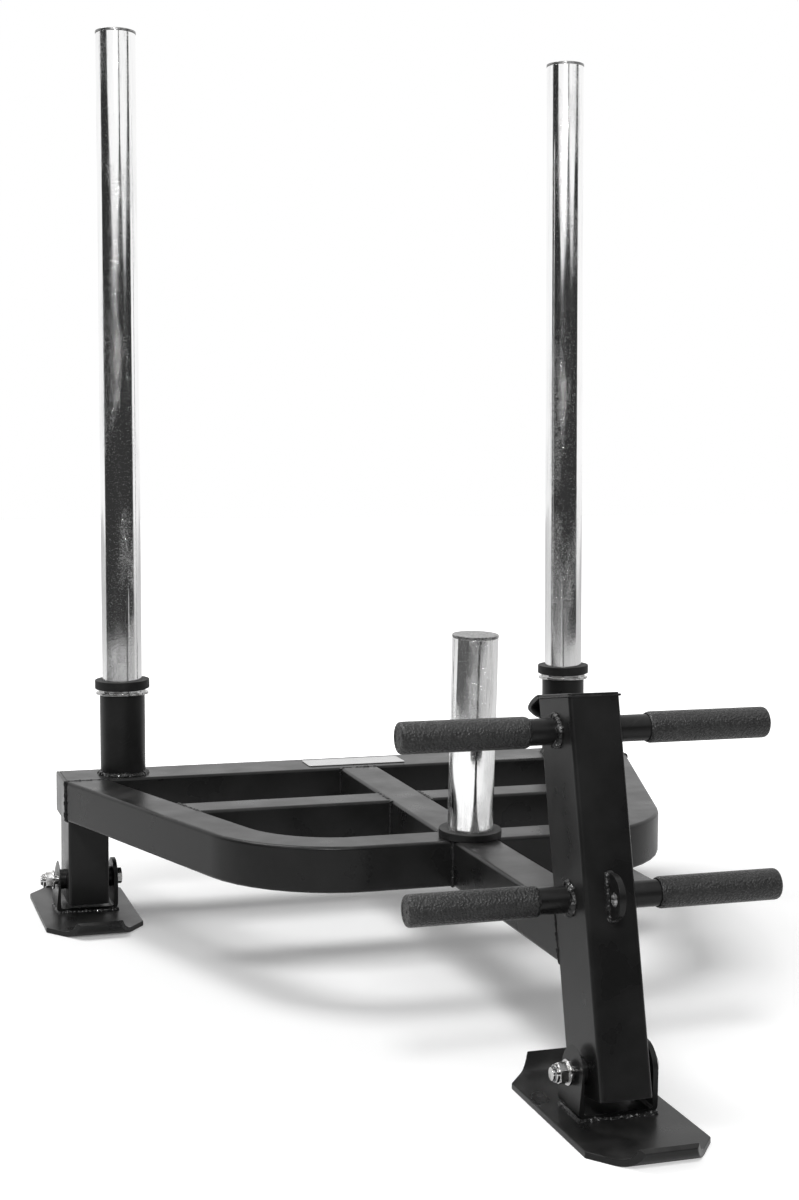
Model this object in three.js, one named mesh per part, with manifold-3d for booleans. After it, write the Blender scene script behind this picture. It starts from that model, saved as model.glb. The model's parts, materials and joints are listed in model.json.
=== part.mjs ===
import * as THREE from 'three';
import { mergeVertices } from 'three/addons/utils/BufferGeometryUtils.js';
import Module from 'manifold-3d';

// Push sled. Millimetres; X runs across the sled, Y from its mast to its tall posts, Z up from the floor.

// Clearance and facet counts
const gap = 0.3;
const roundFacets = 36;
const smallFacets = 24;
const cornerFacets = 16;
const edgeFacets = 3;
const bendFacets = 9;
const noseFacets = 6;

// Steel tube
const tubeSide = 50.8;
const tubeDepth = 76.2;
const tubeWall = 3.2;
const tubeCorner = 4;

// Cross tube and its end plates
const crossLength = 762;
const endPlateThickness = 4.3;
const frameTop = 178;

// Bent side tubes, middle bars and legs
const frontBarY = -456;
const middleBarY = -232;
const sideInset = 24.5;
const sideAngle = THREE.MathUtils.degToRad(18.7);
const sideBendRadius = 135;
const legInset = 26.4;
const legFoot = 18.5;

// Leaning mast
const mastBackY = -765;
const mastLean = THREE.MathUtils.degToRad(14.3);
const mastEndSkew = THREE.MathUtils.degToRad(5.1);
const mastLength = 362;
const mastFootDrop = 25.4;
const mastCapThickness = 3;

// Strap loop behind the head of the mast
const loopReach = 28.5;
const loopDrop = 22.8;
const loopRootOverhang = 0.6;
const loopOuterShares = [
  [0, 1], [0.26, 0.965], [0.5, 0.9], [0.74, 0.8], [0.92, 0.69], [1, 0.58],
  [0.96, 0.47], [0.84, 0.38], [0.66, 0.27], [0.34, 0.11], [0, 0],
];
const loopInnerShares = [
  [0, 0.08], [0.3, 0.18], [0.54, 0.31], [0.68, 0.42], [0.7, 0.5], [0.66, 0.56],
  [0.54, 0.63], [0.26, 0.72], [0, 0.77],
];

// Tow eye on the front of the mast
const towEyeHeight = 42;
const towEyeReach = 26.4;
const towEyeThickness = 6;
const towEyeHole = 13;
const towEyeHoleReach = 12.7;
const towEyeHoleDrop = 2.5;

// Handle bars and grips
const handleDiameter = 25.4;
const handleWall = 2.5;
const handleStub = 34.9;
const upperHandleDrop = 53.5;
const handleSpacing = 154.5;
const upperHandleShift = 6.3;
const lowerHandleShift = 2.5;
const gripDiameter = 30;
const gripLength = 126;
const gripEndThickness = 3;
const gripEndRound = 4;
const gripBevelRun = 3;
const gripBevelRise = 1.2;

// Tall posts in their sleeves
const postInset = 76.2;
const postDiameter = 50;
const postWall = 3;
const postRake = THREE.MathUtils.degToRad(2);
const postTop = 1113;
const postCapThickness = 3;
const postCapRound = 1.5;
const sleeveDiameter = 57.2;
const sleeveHeight = 102;
const collarDiameter = 66.7;
const collarThickness = 6.3;
const bumperDiameter = 69;
const bumperThickness = 11.2;
const bumperRound = 0.8;

// Short post on the front bar
const shortPostForward = 8;
const shortPostLean = THREE.MathUtils.degToRad(2.4);
const shortPostHeight = 221;
const shortBumperThickness = 9.3;

// Name plate
const platePlanLength = 132;
const platePlanWidth = 42;
const plateThickness = 1;
const plateCentreX = 3;
const plateCorner = 3;

// Pivoting skids
const pivotHeight = 44.5;
const pivotTubeDiameter = 25.4;
const skidWidth = 120;
const skidThickness = 6.35;
const skidTipHalf = 133;
const skidNoseRun = 10;
const skidShoulderRun = 36;
const skidTipHalfWidth = 24;
const skidTipAngle = THREE.MathUtils.degToRad(60);
const skidBendRadius = 25;
const bracketHalfWidth = 38.7;
const bracketThickness = 5;
const bracketBend = 8;
const earRadius = 24;

// Pivot bolts
const boltDiameter = 12;
const boltHeadFlats = 18;
const boltHeadThickness = 7.5;
const boltTail = 2.5;
const nutThickness = 12;
const nutCollarShare = 0.3;
const nutCollarStep = 0.7;
const washerDiameter = 24;
const washerThickness = 2.5;
const hexChamfer = 1.2;

// Derived positions
const crossBottom = frameTop - tubeSide;
const crossFrontY = -tubeDepth / 2;
const sideStartX = crossLength / 2 - sideInset;
const legX = crossLength / 2 - legInset;
const postX = crossLength / 2 - postInset;
const mastHalfDepth = tubeDepth / 2;
const mastAxisAtTopY = mastBackY - mastHalfDepth / Math.cos(mastLean);
const mastPivotY = mastAxisAtTopY - (frameTop - pivotHeight) * Math.tan(mastLean);
const upperHandleUpMast = mastLength - upperHandleDrop;
const lowerHandleUpMast = upperHandleUpMast - handleSpacing;
const towEyeUpMast = lowerHandleUpMast;
const mastEndRise = Math.tan(mastEndSkew);
const bracketBaseBottom = skidThickness + gap;
const rearEndY = skidTipHalf;
const frontEndY = mastPivotY - skidTipHalf;
const boltHole = boltDiameter + 2 * gap;
const sleeveHole = postDiameter + 2 * gap;

// Far enough to reach past any single piece when it is cut
const reach = 2 * crossLength;

// Finishes
function finish(color, roughness, metalness) {
  return new THREE.MeshStandardMaterial({ color, roughness, metalness });
}

const blackCoat = () => finish(0x2a2a2b, 0.55, 0.1);
const brightPlate = () => finish(0xb9bcc0, 0.28, 0.9);
const zincPlate = () => finish(0xc4c6c8, 0.35, 0.85);
const blackRubber = () => finish(0x19191a, 0.85, 0);
const bareLabel = () => finish(0xc9cbcd, 0.45, 0.4);

// Solids
const wasm = await Module();
wasm.setup();

function solidOf(geometry) {
  const bare = geometry.clone();
  bare.deleteAttribute('normal');
  bare.deleteAttribute('uv');
  const welded = mergeVertices(bare, 1e-4);
  return new wasm.Manifold(new wasm.Mesh({
    numProp: 3,
    vertProperties: new Float32Array(welded.attributes.position.array),
    triVerts: new Uint32Array(welded.index.array),
  }));
}

function geometryOf(solid) {
  const mesh = solid.getMesh();
  const indexed = new THREE.BufferGeometry();
  indexed.setAttribute('position', new THREE.BufferAttribute(new Float32Array(mesh.vertProperties), 3));
  indexed.setIndex(new THREE.BufferAttribute(new Uint32Array(mesh.triVerts), 1));
  const flat = indexed.toNonIndexed();
  flat.computeVertexNormals();
  return flat;
}

function cut(geometry, ...tools) {
  return geometryOf(tools.reduce((left, tool) => left.subtract(solidOf(tool)), solidOf(geometry)));
}

function keep(geometry, ...tools) {
  return geometryOf(tools.reduce((left, tool) => left.intersect(solidOf(tool)), solidOf(geometry)));
}

// Outlines
function outline(points) {
  return new THREE.Shape(points.map(([u, v]) => new THREE.Vector2(u, v)));
}

function circlePath(path, radius) {
  path.absarc(0, 0, radius, 0, 2 * Math.PI, false);
  return path;
}

function roundedBox(path, width, height, radius) {
  const u = width / 2 - radius;
  const v = height / 2 - radius;
  const quarter = Math.PI / 2;
  path.absarc(u, v, radius, 0, quarter, false);
  path.absarc(-u, v, radius, quarter, 2 * quarter, false);
  path.absarc(-u, -v, radius, 2 * quarter, 3 * quarter, false);
  path.absarc(u, -v, radius, 3 * quarter, 4 * quarter, false);
  path.closePath();
  return path;
}

function tubeOutline(width, height) {
  const shape = roundedBox(new THREE.Shape(), width, height, tubeCorner);
  const u = width / 2 - tubeWall;
  const v = height / 2 - tubeWall;
  const corners = [[u, v], [-u, v], [-u, -v], [u, -v]];
  shape.holes.push(new THREE.Path(corners.map(([a, b]) => new THREE.Vector2(a, b))));
  return shape;
}

// Straight pieces along each axis, from an outline in Y and Z, in X and Z, or in X and Y;
// facets is the number a full circle has, of which an arc takes two per curve segment
function extrude(shape, depth, facets) {
  const options = { depth, bevelEnabled: false, curveSegments: facets / 2, steps: 1 };
  return new THREE.ExtrudeGeometry(shape, options);
}

const xAxis = new THREE.Vector3(1, 0, 0);
const yAxis = new THREE.Vector3(0, 1, 0);
const zAxis = new THREE.Vector3(0, 0, 1);

function alongX(shape, from, to, facets = cornerFacets / 4) {
  const turned = new THREE.Matrix4().makeBasis(yAxis, zAxis, xAxis);
  return extrude(shape, to - from, facets).applyMatrix4(turned).translate(from, 0, 0);
}

function alongY(shape, from, to, facets = cornerFacets / 4) {
  return extrude(shape, to - from, facets).rotateX(Math.PI / 2).translate(0, to, 0);
}

function alongZ(shape, from, to, facets = cornerFacets / 4) {
  return extrude(shape, to - from, facets).translate(0, 0, from);
}

function block(xFrom, xTo, yFrom, yTo, zFrom, zTo) {
  const box = new THREE.BoxGeometry(xTo - xFrom, yTo - yFrom, zTo - zFrom);
  return box.translate((xFrom + xTo) / 2, (yFrom + yTo) / 2, (zFrom + zTo) / 2);
}

function rodAlongX(diameter, from, to, facets = roundFacets) {
  return alongX(circlePath(new THREE.Shape(), diameter / 2), from, to, facets);
}

function rodAlongZ(diameter, from, to, facets = roundFacets) {
  return alongZ(circlePath(new THREE.Shape(), diameter / 2), from, to, facets);
}

function ringAlongZ(diameter, hole, from, to, facets = roundFacets) {
  const shape = circlePath(new THREE.Shape(), diameter / 2);
  shape.holes.push(circlePath(new THREE.Path(), hole / 2));
  return alongZ(shape, from, to, facets);
}

// Turned pieces about Z from [radius, height] points
function turned(points, facets = roundFacets) {
  return new THREE.LatheGeometry(points.map(([r, z]) => new THREE.Vector2(r, z)), facets)
    .rotateX(Math.PI / 2);
}

function arcPoints(centreR, centreZ, radius, fromAngle, toAngle) {
  return Array.from({ length: edgeFacets + 1 }, (_, i) => {
    const angle = fromAngle + ((toAngle - fromAngle) * i) / edgeFacets;
    return [centreR + radius * Math.cos(angle), centreZ + radius * Math.sin(angle)];
  });
}

const sled = new THREE.Group();
sled.name = 'push_sled';
sled.position.y = -(rearEndY + frontEndY) / 2;

function piece(parent, name, geometry, material) {
  const mesh = new THREE.Mesh(geometry, material);
  mesh.name = name;
  parent.add(mesh);
  return mesh;
}

function place(parent, x, y, z) {
  const group = new THREE.Group();
  group.position.set(x, y, z);
  parent.add(group);
  return group;
}

const sides = [['left', -1], ['right', 1]];

// Cross tube; each tall post drops through its top wall
const crossTube = place(sled, 0, 0, frameTop - tubeSide / 2);
const postHoles = sides.map(([, side]) => rodAlongZ(sleeveHole, -2 * tubeWall, tubeWall)
  .rotateX(-postRake)
  .translate(side * postX, 0, tubeSide / 2));
piece(crossTube, 'cross_tube',
  cut(alongX(tubeOutline(tubeDepth, tubeSide), -crossLength / 2, crossLength / 2), ...postHoles),
  blackCoat());

for (const [label, side] of sides) {
  const start = crossLength / 2 + gap;
  const plate = alongX(roundedBox(new THREE.Shape(), tubeDepth, tubeSide, tubeCorner),
    0, endPlateThickness - gap);
  const seat = piece(crossTube, `cross_tube_cap_${label}`, plate, blackCoat());
  seat.position.x = side > 0 ? start : -start - (endPlateThickness - gap);
}

piece(place(sled, plateCentreX, 0, frameTop + gap), 'name_plate',
  alongZ(roundedBox(new THREE.Shape(), platePlanLength, platePlanWidth, plateCorner), 0, plateThickness),
  bareLabel());

// Legs under the ends of the cross tube
for (const [label, side] of sides) {
  const legHead = crossBottom - gap;
  const leg = alongZ(tubeOutline(tubeSide, tubeDepth), legFoot - pivotHeight, legHead - pivotHeight);
  piece(place(sled, side * legX, 0, pivotHeight), `leg_${label}`,
    cut(leg, rodAlongX(pivotTubeDiameter + 2 * gap, -tubeSide, tubeSide, smallFacets)),
    blackCoat());
}

// Bent side tubes from the cross tube to the spine
const bendCentreY = frontBarY + sideBendRadius;
const bendStartDrop = sideBendRadius * Math.sin(sideAngle);
const bendStartY = bendCentreY - bendStartDrop;
const straightDrop = crossFrontY - bendStartY;
const bendStartX = sideStartX - straightDrop * Math.tan(sideAngle);
const bendCentreX = bendStartX - sideBendRadius * Math.cos(sideAngle);

// The sweep has one step along each straight run and even steps round the bend
const sideSteps = bendFacets + 2;
const rearRun = straightDrop / Math.cos(sideAngle) + tubeSide;

class SideRun extends THREE.Curve {
  getUtoTmapping(share) {
    return share;
  }

  getPoint(share, target = new THREE.Vector3()) {
    const step = share * sideSteps;
    if (step < 1) {
      const run = (1 - step) * rearRun;
      return target.set(bendStartX + run * Math.sin(sideAngle), bendStartY + run * Math.cos(sideAngle), 0);
    }
    if (step > bendFacets + 1) {
      return target.set(bendCentreX * (sideSteps - step), frontBarY, 0);
    }
    const angle = sideAngle + ((step - 1) / bendFacets) * (Math.PI / 2 - sideAngle);
    return target.set(bendCentreX + sideBendRadius * Math.cos(angle),
      bendCentreY - sideBendRadius * Math.sin(angle), 0);
  }
}

function sweepSide(shape) {
  return new THREE.ExtrudeGeometry(shape, {
    steps: sideSteps, extrudePath: new SideRun(), curveSegments: cornerFacets / 8,
  });
}

const spineSide = tubeSide / 2 + gap;
const behindCross = block(-reach, reach, crossFrontY - gap, reach, -reach, reach);
const besideSpine = block(-reach, spineSide, -reach, reach, -reach, reach);
const sideTube = cut(sweepSide(tubeOutline(tubeSide, tubeSide)), behindCross, besideSpine);
const frameLevel = place(sled, 0, 0, frameTop - tubeSide / 2);

function mirrored(geometry) {
  return geometryOf(solidOf(geometry).mirror([1, 0, 0]));
}

piece(frameLevel, 'side_tube_right', sideTube, blackCoat());
piece(frameLevel, 'side_tube_left', mirrored(sideTube), blackCoat());

// Middle bars from the spine to the side tubes
const envelopeSide = tubeSide + 2 * gap;
const sideEnvelope = sweepSide(roundedBox(new THREE.Shape(), envelopeSide, envelopeSide, tubeCorner));
const middleBarEnd = bendStartX + (middleBarY - bendStartY) * Math.tan(sideAngle);
const middleBar = cut(
  alongX(tubeOutline(tubeSide, tubeSide), spineSide, middleBarEnd).translate(0, middleBarY, 0),
  sideEnvelope,
);
piece(frameLevel, 'middle_bar_right', middleBar, blackCoat());
piece(frameLevel, 'middle_bar_left', mirrored(middleBar), blackCoat());

// Leaning mast about the front skid's pivot axis
const mast = place(sled, 0, mastPivotY, pivotHeight);
mast.rotation.x = -mastLean;

// The foot and the head of the mast are cut on a slant; heights are those at its front face
const mastHeadUp = mastLength - mastFootDrop;

function slantedSlice(fromUp, toUp) {
  const rise = (depth) => (depth + mastHalfDepth) * mastEndRise;
  const near = -tubeDepth;
  const far = tubeDepth;
  return alongX(outline([
    [near, fromUp + rise(near)],
    [far, fromUp + rise(far)],
    [far, toUp + rise(far)],
    [near, toUp + rise(near)],
  ]), near, far);
}

const mastHoles = [
  rodAlongX(pivotTubeDiameter + 2 * gap, -tubeSide, tubeSide, smallFacets),
  ...[upperHandleUpMast, lowerHandleUpMast].map((up) => (
    rodAlongX(handleDiameter + 2 * gap, -tubeSide, tubeSide, smallFacets).translate(0, 0, up))),
];
const mastBlank = alongZ(tubeOutline(tubeSide, tubeDepth), -tubeDepth, mastLength + tubeDepth);
piece(mast, 'mast_tube',
  cut(keep(mastBlank, slantedSlice(-mastFootDrop, mastHeadUp)), ...mastHoles),
  blackCoat());

const capOutline = roundedBox(new THREE.Shape(), tubeSide, tubeDepth, tubeCorner);
const capBlank = alongZ(capOutline, 0, mastLength + tubeDepth);
piece(mast, 'mast_cap',
  keep(capBlank, slantedSlice(mastHeadUp + gap, mastHeadUp + mastCapThickness)),
  blackCoat());

// Strap loop, its root on the back face of the mast
const mastHeadBackUp = mastHeadUp + tubeDepth * mastEndRise;
const loopFoot = mastHeadBackUp + mastCapThickness + loopRootOverhang - loopDrop;
const loopPoint = ([out, up]) => [mastHalfDepth + gap + out * loopReach, loopFoot + up * loopDrop];
const loopShape = outline([...loopOuterShares.map(loopPoint), ...loopInnerShares.map(loopPoint)]);
piece(mast, 'strap_loop', alongX(loopShape, -tubeSide / 2, tubeSide / 2), blackCoat());

// Tow eye: a D-shaped plate standing out from the front face
const eyeRadius = towEyeHeight / 2;
const eyeFace = -mastHalfDepth - gap;
const eyeShape = new THREE.Shape();
eyeShape.moveTo(eyeFace, towEyeUpMast + eyeRadius);
eyeShape.absarc(eyeFace - (towEyeReach - eyeRadius), towEyeUpMast, eyeRadius, Math.PI / 2,
  (3 * Math.PI) / 2, false);
eyeShape.lineTo(eyeFace, towEyeUpMast - eyeRadius);
eyeShape.closePath();
const eyeHole = new THREE.Path();
eyeHole.absarc(eyeFace - towEyeHoleReach, towEyeUpMast - towEyeHoleDrop, towEyeHole / 2, 0,
  2 * Math.PI, false);
eyeShape.holes.push(eyeHole);
const eyeSide = towEyeThickness / 2;
piece(mast, 'tow_eye', alongX(eyeShape, -eyeSide, eyeSide, smallFacets), blackCoat());

// Handle bars through the mast, with a blind grip on each end
const gripHole = handleDiameter + 2 * gap;
const gripInnerLength = gripLength - gripEndThickness;
const gripEndCentre = gripDiameter / 2 - gripEndRound;
const gripStart = tubeSide / 2 + handleStub;
const handleHalf = gripStart + gripInnerLength - gap;
const gripProfile = [
  [gripHole / 2, 0],
  [gripDiameter / 2 - gripBevelRise, 0],
  [gripDiameter / 2, gripBevelRun],
  ...arcPoints(gripEndCentre, gripLength - gripEndRound, gripEndRound, 0, Math.PI / 2),
  [0, gripLength],
  [0, gripInnerLength],
  [gripHole / 2, gripInnerLength],
  [gripHole / 2, 0],
];

function turnedAlongX(points, side, facets) {
  return turned(points, facets).rotateY((side * Math.PI) / 2);
}

const handles = [
  ['upper', upperHandleUpMast, upperHandleShift],
  ['lower', lowerHandleUpMast, lowerHandleShift],
];
for (const [level, up, shift] of handles) {
  const bar = place(mast, shift, 0, up);
  const pipe = circlePath(new THREE.Shape(), handleDiameter / 2);
  pipe.holes.push(circlePath(new THREE.Path(), handleDiameter / 2 - handleWall));
  piece(bar, `handle_bar_${level}`, alongX(pipe, -handleHalf, handleHalf, smallFacets), blackCoat());
  for (const [label, side] of sides) {
    const sleeve = turnedAlongX(gripProfile, side, smallFacets);
    piece(bar, `grip_${level}_${label}`, sleeve, blackRubber()).position.x = side * gripStart;
  }
}

// Spine from the cross tube to the back face of the mast
const mastEnvelope = block(-tubeDepth, tubeDepth, -reach, mastHalfDepth + gap, -reach, reach)
  .rotateX(-mastLean)
  .translate(0, mastPivotY, pivotHeight - (frameTop - tubeSide / 2));
piece(frameLevel, 'spine_tube',
  cut(alongY(tubeOutline(tubeSide, tubeSide), mastPivotY, crossFrontY - gap), mastEnvelope),
  blackCoat());

// Caps, collars and rubber bumpers shared by the posts
const capRimRadius = postDiameter / 2 - postCapRound;
const capProfile = [
  [0, 0],
  [postDiameter / 2, 0],
  ...arcPoints(capRimRadius, postCapThickness - postCapRound, postCapRound, 0, Math.PI / 2),
  [0, postCapThickness],
];

function ringProfile(hole, diameter, thickness, round) {
  const inner = hole / 2;
  const outer = diameter / 2 - round;
  return [
    [inner, 0],
    ...arcPoints(outer, round, round, -Math.PI / 2, 0),
    ...arcPoints(outer, thickness - round, round, 0, Math.PI / 2),
    [inner, thickness],
    [inner, 0],
  ];
}

function bumper(thickness) {
  return turned(ringProfile(sleeveHole, bumperDiameter, thickness, bumperRound));
}

// Tall posts, raked back in sleeves on the cross tube
const postFoot = (tubeWall - tubeSide + gap + (postDiameter / 2) * Math.sin(postRake)) / Math.cos(postRake);
const postHead = (postTop - frameTop) / Math.cos(postRake) - postCapThickness;
for (const [label, side] of sides) {
  const foot = place(sled, side * postX, 0, frameTop);
  foot.rotation.x = -postRake;
  const aboveTube = block(-reach, reach, -reach, reach, gap, reach).rotateX(postRake);
  piece(foot, `sleeve_${label}`,
    keep(ringAlongZ(sleeveDiameter, sleeveHole, -tubeWall, sleeveHeight), aboveTube),
    blackCoat());
  piece(foot, `post_${label}`,
    ringAlongZ(postDiameter, postDiameter - 2 * postWall, postFoot, postHead - gap),
    brightPlate());
  piece(foot, `post_cap_${label}`, turned(capProfile), brightPlate()).position.z = postHead;
  piece(foot, `post_collar_${label}`,
    ringAlongZ(collarDiameter, sleeveHole, gap, collarThickness),
    brightPlate()).position.z = sleeveHeight;
  piece(foot, `post_bumper_${label}`, bumper(bumperThickness), blackRubber())
    .position.z = sleeveHeight + collarThickness + gap;
}

// Short post, leaning to the mast from the top of the spine where the front bars meet it
const shortFoot = place(sled, 0, frontBarY - shortPostForward, frameTop);
shortFoot.rotation.x = shortPostLean;
const aboveBar = block(-reach, reach, -reach, reach, gap, reach).rotateX(-shortPostLean);
const shortPipe = ringAlongZ(postDiameter, postDiameter - 2 * postWall,
  -tubeSide / 2, shortPostHeight - gap);
piece(shortFoot, 'short_post', keep(shortPipe, aboveBar), brightPlate());
piece(shortFoot, 'short_post_cap', turned(capProfile), brightPlate()).position.z = shortPostHeight;
piece(shortFoot, 'short_post_bumper', keep(bumper(shortBumperThickness), aboveBar), blackRubber());

// Skids: a plate turned up at both ends with its corners cut off
const skidFlatHalf = skidTipHalf - skidNoseRun;
const skidStraightHalf = skidFlatHalf - skidShoulderRun;
const turnTangent = skidBendRadius * Math.tan(skidTipAngle / 2);
const skidSide = new THREE.Shape();
const tipSin = Math.sin(skidTipAngle);
const tipCos = Math.cos(skidTipAngle);
const tipRise = skidNoseRun * Math.tan(skidTipAngle);
const upperRadius = skidBendRadius - skidThickness;
skidSide.moveTo(-skidFlatHalf + turnTangent, 0);
skidSide.lineTo(skidFlatHalf - turnTangent, 0);
skidSide.absarc(skidFlatHalf - turnTangent, skidBendRadius, skidBendRadius, -Math.PI / 2,
  skidTipAngle - Math.PI / 2, false);
skidSide.lineTo(skidTipHalf, tipRise);
skidSide.lineTo(skidTipHalf - skidThickness * tipSin, tipRise + skidThickness * tipCos);
skidSide.absarc(skidFlatHalf - turnTangent, skidBendRadius, upperRadius, skidTipAngle - Math.PI / 2,
  -Math.PI / 2, true);
skidSide.absarc(-skidFlatHalf + turnTangent, skidBendRadius, upperRadius, -Math.PI / 2,
  -Math.PI / 2 - skidTipAngle, true);
skidSide.lineTo(-skidTipHalf + skidThickness * tipSin, tipRise + skidThickness * tipCos);
skidSide.lineTo(-skidTipHalf, tipRise);
skidSide.absarc(-skidFlatHalf + turnTangent, skidBendRadius, skidBendRadius, -Math.PI / 2 - skidTipAngle,
  -Math.PI / 2, false);
skidSide.closePath();
const skidPlan = alongZ(outline([
  [-skidWidth / 2, -skidStraightHalf], [-skidTipHalfWidth, -skidTipHalf], [skidTipHalfWidth, -skidTipHalf],
  [skidWidth / 2, -skidStraightHalf], [skidWidth / 2, skidStraightHalf], [skidTipHalfWidth, skidTipHalf],
  [-skidTipHalfWidth, skidTipHalf], [-skidWidth / 2, skidStraightHalf],
]), -skidWidth, skidWidth);
const skidBlank = alongX(skidSide, -skidWidth / 2, skidWidth / 2, noseFacets);
const skidPlate = keep(skidBlank, skidPlan).translate(0, 0, -pivotHeight);

// Bracket: a bar bent to a U, both ears rounded about the pivot
const baseUnder = bracketBaseBottom - pivotHeight;
const bracketInner = bracketHalfWidth - bracketThickness;
const innerBend = bracketBend - bracketThickness;
const bendX = bracketHalfWidth - bracketBend;
const bendZ = baseUnder + bracketBend;
const bracketShape = new THREE.Shape();
bracketShape.moveTo(-bracketHalfWidth, earRadius);
bracketShape.absarc(-bendX, bendZ, bracketBend, Math.PI, (3 * Math.PI) / 2, false);
bracketShape.absarc(bendX, bendZ, bracketBend, -Math.PI / 2, 0, false);
bracketShape.lineTo(bracketHalfWidth, earRadius);
bracketShape.lineTo(bracketInner, earRadius);
bracketShape.absarc(bendX, bendZ, innerBend, 0, -Math.PI / 2, true);
bracketShape.absarc(-bendX, bendZ, innerBend, -Math.PI / 2, -Math.PI, true);
bracketShape.lineTo(-bracketInner, earRadius);
bracketShape.closePath();
const earShape = new THREE.Shape();
earShape.moveTo(-earRadius, -pivotHeight);
earShape.lineTo(earRadius, -pivotHeight);
earShape.absarc(0, 0, earRadius, 0, Math.PI, false);
earShape.closePath();
const earTool = alongX(earShape, -skidWidth, skidWidth, smallFacets / 2);
const bracket = cut(
  keep(alongY(bracketShape, -earRadius, earRadius), earTool),
  rodAlongX(boltHole, -skidWidth, skidWidth, smallFacets),
);

// Bolt, nut and washer along the pivot
function hexAlongX(flats, from, to) {
  const corner = flats / 2 / Math.cos(Math.PI / 6);
  const hex = outline(Array.from({ length: 6 }, (_, i) => {
    const angle = (i * Math.PI) / 3 + Math.PI / 6;
    return [corner * Math.cos(angle), corner * Math.sin(angle)];
  }));
  return alongX(hex, from, to);
}

const hexCorner = boltHeadFlats / Math.sqrt(3);
const headProfile = [
  [0, 0],
  [hexCorner, 0],
  [hexCorner, boltHeadThickness - hexChamfer / 2],
  [hexCorner - hexChamfer, boltHeadThickness],
  [0, boltHeadThickness],
];

const earOuter = bracketHalfWidth + gap;
const washerOuter = earOuter + washerThickness + gap;
const nutOuter = washerOuter + nutThickness;
const headTool = turnedAlongX(headProfile, 1, smallFacets).translate(earOuter, 0, 0);
const head = keep(hexAlongX(boltHeadFlats, earOuter, earOuter + boltHeadThickness), headTool);
const shank = rodAlongX(boltDiameter, -nutOuter - boltTail, earOuter + boltHeadThickness / 2, smallFacets);
const bolt = geometryOf(solidOf(head).add(solidOf(shank)));
const nutFlatsLength = nutThickness * (1 - nutCollarShare);
const nutCollarRadius = boltHeadFlats / 2 - nutCollarStep;
const nutProfile = [
  [0, 0],
  [hexCorner, 0],
  [hexCorner, nutFlatsLength - hexChamfer / 2],
  [boltHeadFlats / 2, nutFlatsLength],
  [nutCollarRadius, nutFlatsLength],
  [nutCollarRadius, nutThickness - nutCollarStep],
  [nutCollarRadius - nutCollarStep, nutThickness],
  [0, nutThickness],
];
const nut = cut(
  keep(hexAlongX(boltHeadFlats, -nutOuter, -washerOuter),
    turnedAlongX(nutProfile, -1, smallFacets).translate(-washerOuter, 0, 0)),
  rodAlongX(boltHole, -reach, reach, smallFacets),
);
const washerShape = circlePath(new THREE.Shape(), washerDiameter / 2);
washerShape.holes.push(circlePath(new THREE.Path(), boltHole / 2));
const washer = alongX(washerShape, -earOuter - washerThickness, -earOuter, smallFacets);
const pivotPipe = circlePath(new THREE.Shape(), pivotTubeDiameter / 2);
pivotPipe.holes.push(circlePath(new THREE.Path(), boltHole / 2));
const pivotTube = alongX(pivotPipe, gap - bracketInner, bracketInner - gap, smallFacets);

const skidPlaces = [
  ['left', -legX, 0],
  ['right', legX, 0],
  ['front', 0, mastPivotY],
];
for (const [label, x, y] of skidPlaces) {
  const pivot = place(sled, x, y, pivotHeight);
  piece(pivot, `pivot_tube_${label}`, pivotTube, blackCoat());
  piece(pivot, `skid_plate_${label}`, skidPlate, blackCoat());
  piece(pivot, `skid_bracket_${label}`, bracket, blackCoat());
  piece(pivot, `pivot_bolt_${label}`, bolt, zincPlate());
  piece(pivot, `pivot_nut_${label}`, nut, zincPlate());
  piece(pivot, `pivot_washer_${label}`, washer, zincPlate());
}

export default sled;
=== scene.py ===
import json
import math
import random

import bmesh
import bpy
from mathutils import Matrix, Vector

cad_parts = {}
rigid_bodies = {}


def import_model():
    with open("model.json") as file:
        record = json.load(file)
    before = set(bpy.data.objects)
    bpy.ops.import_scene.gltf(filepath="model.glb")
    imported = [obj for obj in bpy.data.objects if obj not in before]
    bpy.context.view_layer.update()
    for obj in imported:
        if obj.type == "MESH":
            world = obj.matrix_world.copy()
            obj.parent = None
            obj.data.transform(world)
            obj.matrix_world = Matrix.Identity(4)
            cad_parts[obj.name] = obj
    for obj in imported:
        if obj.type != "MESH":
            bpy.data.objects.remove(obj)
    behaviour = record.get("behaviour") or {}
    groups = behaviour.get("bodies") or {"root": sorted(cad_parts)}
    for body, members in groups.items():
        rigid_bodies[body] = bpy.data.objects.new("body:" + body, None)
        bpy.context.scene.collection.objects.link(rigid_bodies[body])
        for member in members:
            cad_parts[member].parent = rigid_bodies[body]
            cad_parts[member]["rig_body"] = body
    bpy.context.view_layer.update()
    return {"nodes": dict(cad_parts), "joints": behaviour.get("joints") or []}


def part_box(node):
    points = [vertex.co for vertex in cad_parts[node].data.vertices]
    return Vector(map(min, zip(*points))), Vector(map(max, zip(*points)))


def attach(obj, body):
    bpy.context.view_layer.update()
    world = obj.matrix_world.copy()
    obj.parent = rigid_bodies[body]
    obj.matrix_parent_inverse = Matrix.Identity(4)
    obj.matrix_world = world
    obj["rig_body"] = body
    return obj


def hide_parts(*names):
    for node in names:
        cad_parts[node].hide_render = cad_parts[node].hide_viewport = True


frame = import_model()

# Push sled, in metres: X across it, Y from its mast to its tall posts, Z up from the floor

scene = bpy.context.scene
jointOf = {joint["name"]: joint for joint in frame["joints"]}
sideSigns = (("left", -1), ("right", 1))
skidLabels = ("left", "right", "front")


def bodyOf(node):
    return frame["nodes"][node]["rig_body"]


def pointsOf(node):
    return [vertex.co for vertex in frame["nodes"][node].data.vertices]


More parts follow.
